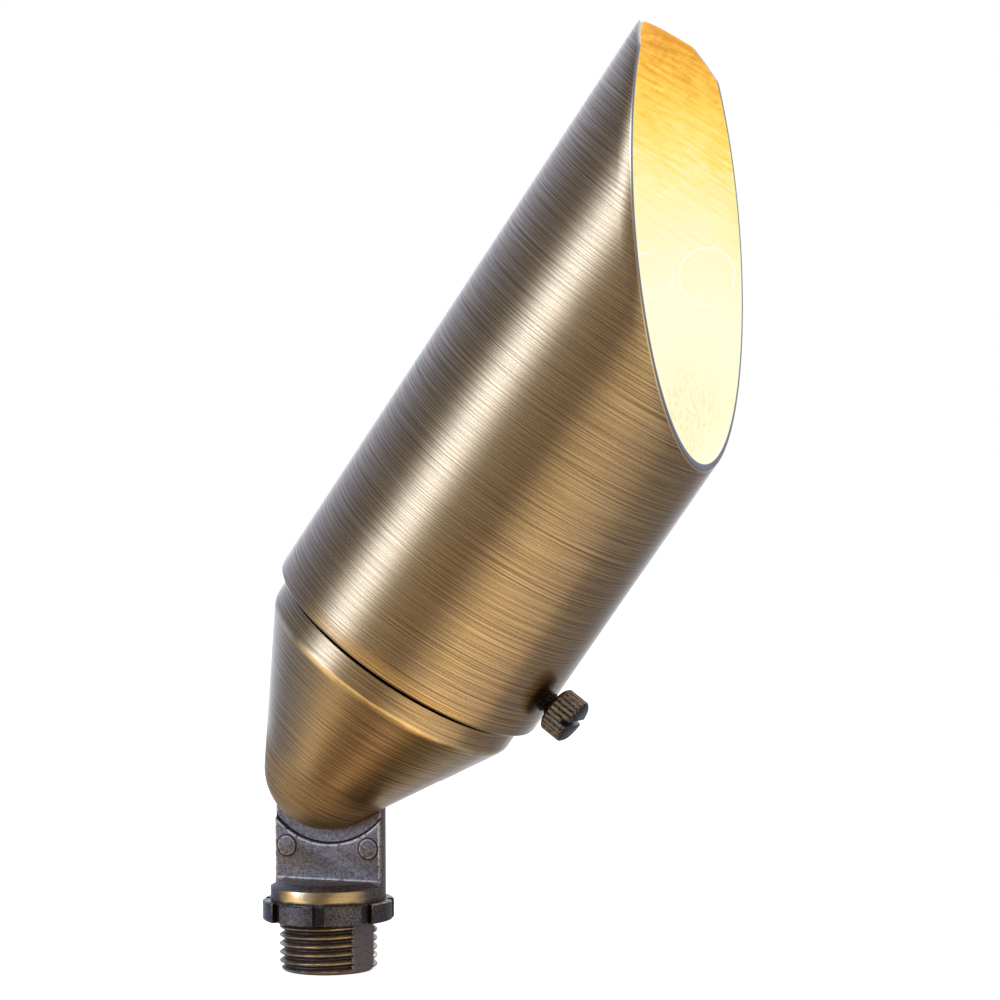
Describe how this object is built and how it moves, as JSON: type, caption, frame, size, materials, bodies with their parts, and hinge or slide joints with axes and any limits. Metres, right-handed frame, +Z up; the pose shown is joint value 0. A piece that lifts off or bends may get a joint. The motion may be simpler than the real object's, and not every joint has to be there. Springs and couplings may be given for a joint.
{
  "type": "garden spotlight",
  "caption": "Garden spotlight: turned brass lamp housing on a tilting knuckle and threaded stem, with a slant-cut sliding shroud locked by a thumb screw.",
  "frame": {"origin": "on the stem's axis at the lower end of its thread", "axes": "+Z up the stem, +X the side that the head leans to at rest, -Y the front, where the stem has its flat; the knuckle turns about Y"},
  "size_m": [0.0992, 0.0634, 0.197],
  "materials": {
    "brushed_brass": "antique brushed, turned lines round the axis",
    "turned_brass": "turned, lightly aged",
    "dark_bronze": "cast, dark patina with worn edges",
    "steel": "plain zinc-plated",
    "nickel": "nickel-plated",
    "seal_rubber": "matt black rubber",
    "silicone": "matt silicone",
    "clear_glass": "clear, polished",
    "lamp_mirror": "mirror-coated dish",
    "ceramic": "unglazed steatite",
    "glowing_capsule": "frosted, lit warm white",
    "lead_insulation": "glass-sleeved insulation",
    "connector_plastic": "moulded nylon",
    "tip_nylon": "natural nylon"
  },
  "bodies": {
    "stem": {"stem": "dark_bronze", "spring_washer": "steel", "knuckle_seal": "seal_rubber"},
    "lock_nut": {"lock_nut": "dark_bronze"},
    "head": {"housing": "brushed_brass", "lens_gasket": "silicone", "lens": "clear_glass", "lens_ring": "turned_brass", "lamp_reflector": "lamp_mirror", "lamp_glass": "clear_glass", "lamp_base": "ceramic", "lamp_pins": "nickel", "lamp_emitter": "glowing_capsule", "lampholder": "ceramic", "lampholder_contacts": "nickel", "lampholder_bracket": "steel", "bracket_screws": "steel", "lampholder_leads": "lead_insulation", "crimp_connectors": "connector_plastic", "cable_grommet": "seal_rubber"},
    "knuckle_screw": {"knuckle_screw": "dark_bronze"},
    "neck_seals": {"neck_seals": "seal_rubber"},
    "shroud": {"shroud": "brushed_brass"},
    "thumb_tip": {"thumb_screw_tip": "tip_nylon"},
    "thumb_screw": {"thumb_screw": "dark_bronze"}
  },
  "joints": [
    {"name": "head_tilt", "type": "hinge", "parent": "stem", "child": "head", "pos_m": [0, 0, 0.0432], "axis": [0, 1, 0], "range_deg": [-126, 54]},
    {"name": "knuckle_screw_turn", "type": "hinge", "parent": "head", "child": "knuckle_screw", "pos_m": [0, 0.012, 0.0432], "axis": [0, 1, 0], "range_deg": [0, 180]},
    {"name": "lock_nut_turn", "type": "hinge", "parent": "stem", "child": "lock_nut", "pos_m": [0, 0, 0.0128], "axis": [0, 0, 1], "continuous": true},
    {"name": "shroud_turn", "type": "hinge", "parent": "head", "child": "neck_seals", "pos_m": [0.0207, 0, 0.07143], "axis": [0.5913, 0, 0.8064], "continuous": true},
    {"name": "shroud_slide", "type": "slide", "parent": "neck_seals", "child": "shroud", "axis": [0.5913, 0, 0.8064], "range_m": [0, 0.044]},
    {"name": "thumb_screw_travel", "type": "slide", "parent": "shroud", "child": "thumb_tip", "axis": [0.8064, 0, -0.5913], "range_m": [0, 0.0024]},
    {"name": "thumb_screw_turn", "type": "hinge", "parent": "thumb_tip", "child": "thumb_screw", "pos_m": [0.05375, 0, 0.05562], "axis": [0.8064, 0, -0.5913], "range_deg": [0, 1080.05]}
  ],
  "couplings": [
    {"joint": "thumb_screw_turn", "follows": "thumb_screw_travel", "rad_per_m": 7854}
  ]
}
